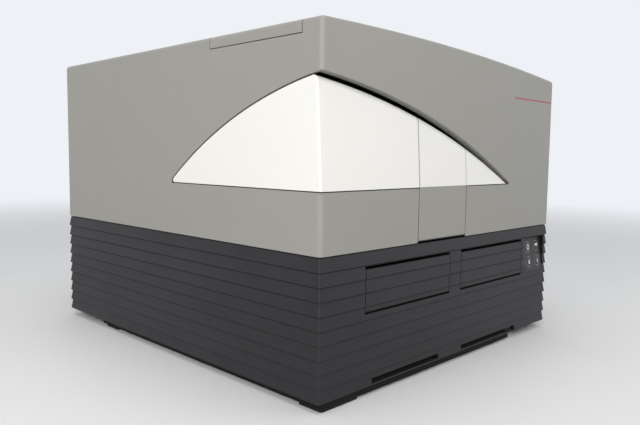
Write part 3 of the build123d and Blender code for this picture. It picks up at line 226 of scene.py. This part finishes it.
# ---------------------------------------------------------------- hood, plate door and roof lid
# The hood is a deep moulded cover in structural foam, sprayed with a finely textured warm grey
# paint; the plate door's lower half and the roof lid are cut to the same form and painted alike.
hood_paint = Finish("hood_paint", Specular_IOR_Level=0.4)
grain = hood_paint.noise(2600.0, 2.0)
pebble = hood_paint.specks(1500.0)
cloud = hood_paint.noise(7.0, 4.0)
tone = (cloud - 0.5) * 0.14 + (grain - 0.5) * 0.16 + 0.5
hood_low, hood_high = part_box("top_cover")
hood_corner, seam_top = 0.0055, 0.2222
x, y, z = (hood_paint.axis(k) for k in range(3))
below_skin = hood_paint.depth_below(x - hood_low[0], hood_high[0] - x, y - hood_low[1], hood_corner)
# Painted shade: below the sill line, surfaces set more than about a millimetre into the hood's skin, such as
# seam walls and grooves, turn near black.
seam_shade = below_skin.ramp(0.0004, 0.0010) * z.under(seam_top)
warm_grey = tone.blend((0.262, 0.255, 0.232), (0.364, 0.355, 0.324))
hood_paint.feed(Base_Color=seam_shade.blend(warm_grey, (0.02, 0.02, 0.02)), Roughness=0.34 + grain * 0.12)
hood_paint.relief(pebble * 0.6 + grain * 0.4, 0.00012, 0.5)
hood_paint.put_on("top_cover", "door_body", "roof_lid")

# ---------------------------------------------------------------- white corner panels
# The white fascia is moulded in satin white plastic in three pieces: one wraps the near corner,
# one faces the plate door and one closes the tip of the arch.
fascia = Finish("fascia_white", Coat_Weight=0.1, Coat_Roughness=0.25)
haze = fascia.noise(5.0, 3.0)
facing_low, facing_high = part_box("door_facing")
x, y = fascia.axis(0), fascia.axis(1)
from_left, from_right = (fascia.any.maths("ABSOLUTE", x - end[0]) for end in (facing_low, facing_high))
# Painted shade: the white darkens close to the door facing's two side edges, inside the seams beside the
# door.
gap_shade = (1.0 - from_left.least(from_right).ramp(0.0003, 0.0012)) * y.over(facing_low[1] + 0.0001)
white = haze.blend((0.855, 0.84, 0.80), (0.89, 0.876, 0.84))
fascia.feed(Base_Color=(gap_shade * 0.6).blend(white, (0.10, 0.10, 0.10)),
            Roughness=0.34 + fascia.noise(900.0, 2.0) * 0.10)
fascia.relief(fascia.noise(700.0, 2.0), 0.00003, 0.3)
fascia.put_on("corner_panel", "right_panel", "door_facing")

# ---------------------------------------------------------------- ribbed base shell and flaps
# The base shell is moulded in black structural foam with ten overlapping ribs that run round it
# like clapboard; the two flaps carry the same ribs, and the key pocket is left plain. Painted shade
# darkens the key pocket, the seams and rib steps set back from the face, and a band under each rib.
pocket_low, pocket_high = Vector((0.174, -0.2775, 0.1135)), Vector((0.2372, -0.25, 0.1420))
base_plastic = Finish("base_plastic", Specular_IOR_Level=0.3)
fine = base_plastic.noise(2400.0, 2.0)
wide = base_plastic.noise(9.0, 3.0)
shade = ((wide - 0.5) * 0.7 + fine * 0.4).ramp(0.0, 0.6)
skin = shade.blend((0.0145, 0.0145, 0.0165), (0.025, 0.025, 0.029))
base_low, base_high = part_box("base_shell")
rib_foot, rib_pitch, ribs_end = 0.0103, 0.01475, 0.1425
base_corner, rib_slope = 0.002, 0.002
x, y, z = (base_plastic.axis(k) for k in range(3))
up_rib = ((z - rib_foot) / rib_pitch).part()
below_skin = base_plastic.depth_below(x - base_low[0], base_high[0] - x, y - base_low[1], base_corner)
behind = below_skin - up_rib * rib_slope
# Painted shade: a band just under each rib's overlap, the key pocket and all that lies set back from the rib
# faces turn near black.
under_lap_shade = up_rib.ramp(0.86, 0.96) * z.under(ribs_end)
painted_shade = behind.ramp(0.0005, 0.0012).most(base_plastic.inside(pocket_low, pocket_high)).most(under_lap_shade * 0.8)
base_plastic.feed(Base_Color=painted_shade.blend(skin, (0.003, 0.003, 0.003)),
                  Roughness=0.40 + fine * 0.16 + painted_shade * 0.4)
base_plastic.relief(fine, 0.0001, 0.5)
base_plastic.put_on("base_shell", "left_flap", "right_flap")
for name in ("base_shell", "left_flap", "right_flap"):
    softened = nodes[name].modifiers.new("soft_edges", "BEVEL")
    softened.width, softened.segments, softened.limit_method = 0.00035, 2, "ANGLE"
    softened.angle_limit, softened.use_clamp_overlap = math.radians(50), True

# ---------------------------------------------------------------- red strip
# A thin strip of dull red film let into the hood's front, near its right end.
strip_film = Finish("strip_film", Roughness=0.4)
strip_film.feed(Base_Color=strip_film.noise(300.0).blend((0.30, 0.028, 0.026), (0.38, 0.045, 0.04)))
strip_film.put_on("accent_strip")

# ---------------------------------------------------------------- key plate, rings and windows
# A matt black plate carries four round keys in pale printed rings; two small tinted windows for the
# status lamp sit at its left.
plate_plastic = Finish("plate_plastic", Specular_IOR_Level=0.4)
dust = plate_plastic.noise(1800.0, 2.0)
plate_plastic.feed(Base_Color=dust.blend((0.022, 0.022, 0.024), (0.034, 0.034, 0.037)),
                   Roughness=0.48 + dust * 0.1)
plate_plastic.relief(dust, 0.00006, 0.5)
plate_plastic.put_on("key_plate")
tinted = Finish("tinted_window", Specular_IOR_Level=0.25)
tinted.feed(Base_Color=tinted.noise(60.0).blend((0.004, 0.004, 0.005), (0.010, 0.008, 0.010)),
            Roughness=0.22 + tinted.noise(400.0) * 0.06)
tinted.put_on("status_window")
ring_print = Finish("ring_print")
ring_print.feed(Base_Color=ring_print.noise(900.0).blend((0.17, 0.175, 0.185), (0.25, 0.255, 0.265)),
                Roughness=0.4 + ring_print.noise(1500.0) * 0.1)
ring_print.put_on("key_rings")

# ---------------------------------------------------------------- floor pan and feet
# The floor pan is folded from sheet steel and powder-coated matt black; its plinth shows under the
# shell and through the intake slots. Four black rubber pads are bonded to it.
pan_coat = Finish("pan_coat", Specular_IOR_Level=0.15)
mottle = pan_coat.noise(1400.0, 2.0)
pan_coat.feed(Base_Color=mottle.blend((0.006, 0.006, 0.006), (0.013, 0.013, 0.014)),
              Roughness=0.7 + mottle * 0.15)
pan_coat.relief(mottle, 0.00008, 0.6)
pan_coat.put_on("base_pan")
rubber = Finish("rubber", Specular_IOR_Level=0.2)
bloom = rubber.noise(500.0, 3.0)
rubber.feed(Base_Color=bloom.blend((0.008, 0.008, 0.008), (0.022, 0.022, 0.022)),
            Roughness=0.75 + bloom * 0.15)
rubber.relief(bloom, 0.0001, 0.5)
rubber.put_on("feet")

# ---------------------------------------------------------------- keys and their signs
# Four round keys of soft satin plastic press straight in. Each carries a small sign printed in
# pale ink: an oval, an arrow and two drops.
key_plastic = Finish("key_plastic", Specular_IOR_Level=0.45)
touch = key_plastic.noise(1600.0, 2.0)
key_plastic.feed(Base_Color=touch.blend((0.020, 0.020, 0.022), (0.033, 0.033, 0.036)),
                 Roughness=0.40 + touch * 0.12)
key_plastic.relief(touch, 0.00004, 0.4)
key_plastic.put_on("key_upper_left", "key_upper_right", "key_lower_left", "key_lower_right")
ink = Finish("sign_ink", Roughness=0.5)
ink.feed(Base_Color=ink.noise(1200.0).blend((0.66, 0.67, 0.68), (0.80, 0.81, 0.82)))
faint_ink = Finish("faint_ink", Roughness=0.5)
faint_ink.feed(Base_Color=faint_ink.noise(1200.0).blend((0.34, 0.35, 0.36), (0.42, 0.43, 0.44)))


def thicken(bm, by):
    """Gives the flat faces of bm a thickness along the vector by."""
    grown = bmesh.ops.extrude_face_region(bm, geom=list(bm.faces))
    corners = [g for g in grown["geom"] if isinstance(g, bmesh.types.BMVert)]
    bmesh.ops.translate(bm, vec=by, verts=corners)


def add_piece(name, bm, body, finish):
    """Turns bm into an object that rides on a body and takes its finish from a slot."""
    bmesh.ops.recalc_face_normals(bm, faces=bm.faces)
    mesh = bpy.data.meshes.new(name)
    bm.to_mesh(mesh)
    bm.free()
    mesh.materials.append(finish.material)
    piece = bpy.data.objects.new(name, mesh)
    bpy.context.scene.collection.objects.link(piece)
    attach(piece, body)
    return piece


def key_face(key):
    """Place and directions of a key's face, from its joint's way of travel and its own mesh."""
    joint = next(j for j in frame["joints"] if j["child"] == key)
    out = -Vector(joint["axis"]).normalized()
    points = [v.co for v in nodes[key].data.vertices]
    top = max(p.dot(out) for p in points)
    rim = [p for p in points if p.dot(out) > top - 0.0002]
    middle = sum(rim, Vector()) / len(rim)
    right = Vector((1, 0, 0))
    turned = Matrix((right, out.cross(right), out)).transposed().to_4x4()
    return Matrix.Translation(middle + out * 0.00002) @ turned


def printed(name, key, outline, hole, finish, thick=0.0001):
    """A printed shape, outlined in millimetres, on a key's face, with an optional hole."""
    bm = bmesh.new()
    rows = [[bm.verts.new((x / 1000, y / 1000, thick)) for x, y in line] for line in (outline, hole) if line]
    if hole:
        outer, inner = rows
        for k in range(len(outer)):
            after = (k + 1) % len(outer)
            bm.faces.new((outer[k], outer[after], inner[after], inner[k]))
    else:
        bm.faces.new(rows[0])
    thicken(bm, (0, 0, -thick))
    bm.transform(key_face(key))
    return add_piece(name, bm, key, finish)


def oval(wide_by, high_by, count=40):
    turns = [2 * math.pi * k / count for k in range(count)]
    return [(wide_by * math.cos(t), high_by * math.sin(t)) for t in turns]


drop = [(0.0, 4.2)] + [(2.1 * math.cos(t), -1.4 + 2.1 * math.sin(t))
                       for t in (math.radians(40 - 10 * k) for k in range(27))]
arrow = [(-4.6, 0.2), (0.4, 0.2), (0.4, -1.6), (4.8, 1.6), (0.4, 4.8), (0.4, 3.0), (-4.6, 3.0)]
printed("oval_sign", "key_upper_left", oval(3.4, 4.5), oval(2.1, 3.1), ink)
printed("arrow_sign", "key_upper_right", arrow, None, ink)
printed("drop_sign", "key_lower_left", drop, None, ink)
printed("second_drop_sign", "key_lower_right", drop, None, faint_ink)

# ---------------------------------------------------------------- steel pins, rails and rear screws
# Hinge pins and the carriage's two rails are ground from bright steel, with fine marks along them;
# the rear screws are zinc-plated and each has a pressed cross recess.
for name, parts, stretch in (("ground_rail", ("rails",), (900, 6, 900)),
                             ("ground_pin", ("door_pin", "flap_pins"), (6, 900, 900)),
                             ("lid_pin_steel", ("lid_pin",), (900, 6, 900)),
                             ("zinc_screw", ("rear_screws",), (700, 40, 700))):
    steel = Finish(name, Metallic=1.0)
    lines = steel.noise(1.0, 3.0, steel.stretched(*stretch))
    steel.feed(Base_Color=lines.blend((0.46, 0.46, 0.47), (0.68, 0.68, 0.69)), Roughness=0.22 + lines * 0.2)
    steel.relief(lines, 0.00002, 0.5)
    steel.put_on(*parts)

# Each cross recess is drawn as a thin black cross laid on the screw head: painted shade where the hollow
# would be.
recess_shade = Finish("recess_shade", Roughness=0.8)
recess_shade.feed(Base_Color=recess_shade.noise(900.0).blend((0.012, 0.012, 0.012), (0.03, 0.03, 0.03)))
screw_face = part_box("rear_screws")[1][1]
face_depth, head_spread = 0.0002, 0.012
heads = []
for point in (v.co for v in nodes["rear_screws"].data.vertices):
    if point.y > screw_face - face_depth:
        rim = next((h for h in heads if (h[0] - point).length < head_spread), None)
        if rim is None:
            heads.append([point])
        else:
            rim.append(point)
arm, half = 0.0021, 0.00045
cross = [(half, half), (half, arm), (-half, arm), (-half, half), (-arm, half), (-arm, -half),
         (-half, -half), (-half, -arm), (half, -arm), (half, -half), (arm, -half), (arm, half)]
for number, rim in enumerate(heads, 1):
    centre = sum(rim, Vector()) / len(rim)
    bm = bmesh.new()
    bm.faces.new([bm.verts.new((centre.x + a, screw_face + 0.00004, centre.z + b)) for a, b in cross])
    thicken(bm, (0, -0.0001, 0))
    add_piece(f"screw_recess_{number}", bm, "chassis", recess_shade)

# ---------------------------------------------------------------- lead screw and head screw
# Both screws are rolled from steel bar: a rounded thread runs round them at a constant pitch; its
# crests are coloured bright and made smoother, and its root is coloured dark.
for node, along, pitch in (("lead_screw", 1, 0.0020), ("head_screw", 0, 0.0010)):
    thread = Finish(node + "_thread", Metallic=1.0)
    low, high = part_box(node)
    first, second = (k for k in range(3) if k != along)
    middle = [(low[k] + high[k]) / 2 for k in range(3)]
    up, out = thread.axis(second) - middle[second], thread.axis(first) - middle[first]
    angle = thread.any.maths("ARCTAN2", up, out)
    wave = (thread.axis(along) / pitch + angle / (2 * math.pi)).part()
    crest = (thread.any.maths("ABSOLUTE", wave - 0.5) * 2.0).ramp(0.1, 0.9)
    thread.feed(Base_Color=crest.blend((0.20, 0.19, 0.17), (0.66, 0.66, 0.67)), Roughness=0.45 - crest * 0.2)
    thread.relief(crest, 0.0005, 1.0)
    thread.put_on(node)

# ---------------------------------------------------------------- machined aluminium
# The deck, carriage, screw bearings, optics bridge and lamp housing are milled from aluminium and
# left clear-anodised; cutter marks run along them and the surface has a faint silky grain.
aluminium = Finish("aluminium", Metallic=1.0)
marks = aluminium.noise(1.0, 4.0, aluminium.stretched(14, 700, 700))
silk = aluminium.noise(1500.0, 2.0)
aluminium.feed(Base_Color=(marks * 0.6 + silk * 0.4).blend((0.56, 0.565, 0.58), (0.74, 0.745, 0.76)),
               Roughness=0.30 + marks * 0.16)
aluminium.relief(marks, 0.00003, 0.5)
aluminium.put_on("deck", "carriage_plate", "screw_bearings", "optics_bridge", "flash_lamp")

# ---------------------------------------------------------------- black anodised parts
# The plate nest, optical units, detector, reading head and motors are bead-blasted and anodised
# black; handling has left the blasted grain slightly brighter in places.
anodised = Finish("anodised", Metallic=0.35, Specular_IOR_Level=0.5)
blast = anodised.specks(2200.0)
rubbed = anodised.noise(18.0, 4.0)
anodised.feed(Base_Color=(blast * 0.3 + rubbed * 0.7).blend((0.022, 0.022, 0.026), (0.050, 0.050, 0.056)),
              Roughness=0.36 + blast * 0.2)
anodised.relief(blast, 0.00008, 0.6)
anodised.put_on("plate_nest", "carriage_bearings", "drive_motor", "reading_head", "objective", "head_motor",
                "excitation_unit", "emission_unit", "detector")

# ---------------------------------------------------------------- objective lens
# A ground and coated glass lens is cemented into the lower end of the objective; its face stands
# slightly domed below the barrel.
lens_glass = Finish("lens_glass", Coat_Weight=1.0, Coat_Roughness=0.02, Specular_IOR_Level=0.6)
sheen = lens_glass.noise(25.0, 2.0)
lens_glass.feed(Base_Color=sheen.blend((0.010, 0.012, 0.030), (0.022, 0.014, 0.045)),
                Roughness=0.04 + sheen * 0.03)
barrel_low, barrel_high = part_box("objective")
lens_x, lens_y = (barrel_low[0] + barrel_high[0]) / 2, (barrel_low[1] + barrel_high[1]) / 2
lens_radius, lens_dome, steps, sides = 0.0075, 0.0008, 8, 48
bm = bmesh.new()
rings = []
for k in range(steps + 1):
    turn = math.radians(90 * k / steps)
    reach, level = lens_radius * math.sin(turn), barrel_low[2] - lens_dome * math.cos(turn)
    spins = [2 * math.pi * j / sides for j in range(sides if k else 1)]
    rings.append([bm.verts.new((lens_x + reach * math.cos(t), lens_y + reach * math.sin(t), level))
                  for t in spins])
for j in range(sides):
    after = (j + 1) % sides
    bm.faces.new((rings[0][0], rings[1][j], rings[1][after]))
    for inner, outer in zip(rings[1:], rings[2:]):
        bm.faces.new((inner[j], outer[j], outer[after], inner[after]))
bm.faces.new(rings[-1])
lens = add_piece("objective_lens", bm, "objective", lens_glass)
for polygon in lens.data.polygons:
    polygon.use_smooth = True

# ---------------------------------------------------------------- sheet steel
# The side frames, the power supply's case and the data socket's shell are folded from galvanised
# sheet, with the faint spangle that zinc leaves.
zinc = Finish("zinc_sheet", Metallic=0.9)
spangle = zinc.any.node("SeparateColor", i0=zinc.specks(160.0, out=1))
bright = spangle * 0.6 + zinc.noise(900.0, 2.0) * 0.4
zinc.feed(Base_Color=bright.blend((0.40, 0.41, 0.43), (0.62, 0.63, 0.65)), Roughness=0.34 + spangle * 0.18)
zinc.put_on("side_frames", "power_supply", "data_socket")

# ---------------------------------------------------------------- circuit boards
# Two glass-fibre boards in green solder mask: copper tracks show through as paler lines, the
# solder is bright, and the components that stand up from the main board are black.
board_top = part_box("base_pan")[1][2] + 0.0085
pad_size, pad_scale = 0.00066, 260.0
for node, slope in (("main_board", False), ("key_board", True)):
    mask = Finish(node + "_mask", Coat_Weight=0.3, Coat_Roughness=0.2)
    flat = mask.any.node("Mapping", Vector=mask.place, Rotation=(math.radians(90 if slope else 0), 0, 0))
    tracks = mask.any.node("TexBrick", {"offset": 0.5}, out=1, Vector=flat, Scale=120.0, Mortar_Size=0.035)
    copper = tracks.blend((0.010, 0.085, 0.035), (0.035, 0.17, 0.07))
    pads = mask.specks(pad_scale, place=flat).under(pad_size * pad_scale)
    green = (pads * 0.7).blend(copper, (0.55, 0.55, 0.52))
    if not slope:
        green = mask.axis(2).over(board_top).blend(green, (0.014, 0.014, 0.015))
    mask.feed(Base_Color=green, Roughness=0.36 + mask.noise(800.0, 2.0) * 0.15)
    mask.put_on(node)

# ---------------------------------------------------------------- moulded black inside parts
# The injector bays, the lid's tray, the fan, the inlet and the power switch are moulded in black
# glass-filled plastic with a fine etched texture.
moulding = Finish("black_moulding", Specular_IOR_Level=0.4)
etch = moulding.noise(1900.0, 2.0)
flow = moulding.noise(20.0, 3.0)
moulding.feed(Base_Color=(etch * 0.5 + flow * 0.5).blend((0.014, 0.014, 0.015), (0.034, 0.034, 0.036)),
              Roughness=0.42 + etch * 0.2)
moulding.relief(etch, 0.00008, 0.6)
moulding.put_on("left_bay", "right_bay", "lid_well", "fan_frame", "fan_rotor", "switch_frame")

# The inlet's three blades are nickel-plated brass inside the black shroud.
inlet_low, inlet_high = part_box("mains_inlet")
inlet_x, inlet_z = (inlet_low[0] + inlet_high[0]) / 2, (inlet_low[2] + inlet_high[2]) / 2
blade_wide, blade_high, shroud_floor, set_in = 0.0022, 0.0052, 0.2400, 0.0015
shroud = Finish("inlet_shroud", Specular_IOR_Level=0.4)
blades = None
for a, b in ((-0.007, -0.003), (0.007, -0.003), (0.0, 0.004)):
    x, z = inlet_x + a, inlet_z + b
    blade = shroud.inside((x - blade_wide / 2, shroud_floor, z - blade_high / 2),
                          (x + blade_wide / 2, inlet_high[1] - set_in, z + blade_high / 2))
    blades = blade if blades is None else blades.most(blade)
etch = shroud.noise(1900.0, 2.0)
black = etch.blend((0.014, 0.014, 0.015), (0.032, 0.032, 0.034))
shroud.feed(Base_Color=blades.blend(black, (0.72, 0.68, 0.60)), Metallic=blades,
            Roughness=0.5 - blades * 0.25 + etch * 0.1)
shroud.put_on("mains_inlet")

# The rocker is satin black and carries a white bar and ring, moulded in, for on and off.
rocker_low, rocker_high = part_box("power_rocker")
rocker_x, rocker_z = (rocker_low[0] + rocker_high[0]) / 2, (rocker_low[2] + rocker_high[2]) / 2
rocker = Finish("rocker_plastic", Coat_Weight=0.2, Coat_Roughness=0.2)
sign_place, ring_inner, ring_outer = 0.0055, 0.0016, 0.0023
bar_half_wide, bar_half_high = 0.0004, 0.0020
right, up = rocker.axis(0) - rocker_x, rocker.axis(2) - rocker_z
from_ring = rocker.any.maths("SQRT", right * right + (up + sign_place) * (up + sign_place))
ring = from_ring.over(ring_inner) * from_ring.under(ring_outer)
bar = rocker.inside((rocker_x - bar_half_wide, -1, rocker_z + sign_place - bar_half_high),
                    (rocker_x + bar_half_wide, 1, rocker_z + sign_place + bar_half_high))
etch = rocker.noise(1900.0, 2.0)
black = etch.blend((0.018, 0.018, 0.019), (0.030, 0.030, 0.032))
rocker.feed(Base_Color=ring.most(bar).blend(black, (0.80, 0.80, 0.78)), Roughness=0.34 + etch * 0.12)
rocker.put_on("power_rocker")

# ---------------------------------------------------------------- injector pumps
# Each pump has a valve block in grey PPS plastic, a borosilicate glass barrel with printed marks
# and a white fluoropolymer plunger.
grey_plastic = Finish("valve_plastic", Specular_IOR_Level=0.45)
fleck = grey_plastic.noise(1300.0, 3.0)
grey_plastic.feed(Base_Color=fleck.blend((0.40, 0.395, 0.37), (0.54, 0.535, 0.51)),
                  Roughness=0.40 + fleck * 0.12)
grey_plastic.relief(fleck, 0.00006, 0.5)
grey_plastic.put_on("left_pump_valve", "right_pump_valve")
mark_pitch, mark_share, first_mark, last_mark, marks_above = 0.002, 0.16, 0.006, 0.040, 0.0035
for side in ("left", "right"):
    low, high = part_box(side + "_syringe")
    glass = Finish(side + "_barrel_glass", Coat_Weight=1.0, Coat_Roughness=0.03, Specular_IOR_Level=0.6)
    along = glass.axis(1) - low[1]
    marks = (along / mark_pitch).part().under(mark_share) * along.over(first_mark) * along.under(last_mark)
    on_top = glass.axis(2).over((low[2] + high[2]) / 2 + marks_above)
    marks = marks * on_top * glass.axis(0).under((low[0] + high[0]) / 2)
    haze = glass.noise(60.0, 2.0)
    glass.feed(Base_Color=marks.blend(haze.blend((0.78, 0.86, 0.89), (0.86, 0.91, 0.93)), (0.02, 0.02, 0.03)),
               Alpha=0.22 + haze * 0.10 + marks * 0.65, Roughness=0.05 + haze * 0.04)
    glass.put_on(side + "_syringe")
white_polymer = Finish("plunger_polymer")
turned = white_polymer.noise(1.0, 3.0, white_polymer.stretched(300, 1500, 300))
white_polymer.feed(Base_Color=turned.blend((0.78, 0.78, 0.76), (0.87, 0.87, 0.85)),
                   Roughness=0.35 + turned * 0.15)
white_polymer.relief(turned, 0.00004, 0.5)
white_polymer.put_on("left_plunger", "right_plunger")

# ---------------------------------------------------------------- rear panel
# The rear panel is steel sheet with punched fan and vent slots, powder-coated black with a fine
# orange-peel texture.
powder = Finish("rear_powder_coat", Specular_IOR_Level=0.35)
peel = powder.noise(650.0, 3.0)
powder.feed(Base_Color=peel.blend((0.016, 0.016, 0.017), (0.030, 0.030, 0.032)),
            Roughness=0.48 + peel * 0.16)
powder.relief(peel, 0.00015, 0.5)
powder.put_on("rear_panel")
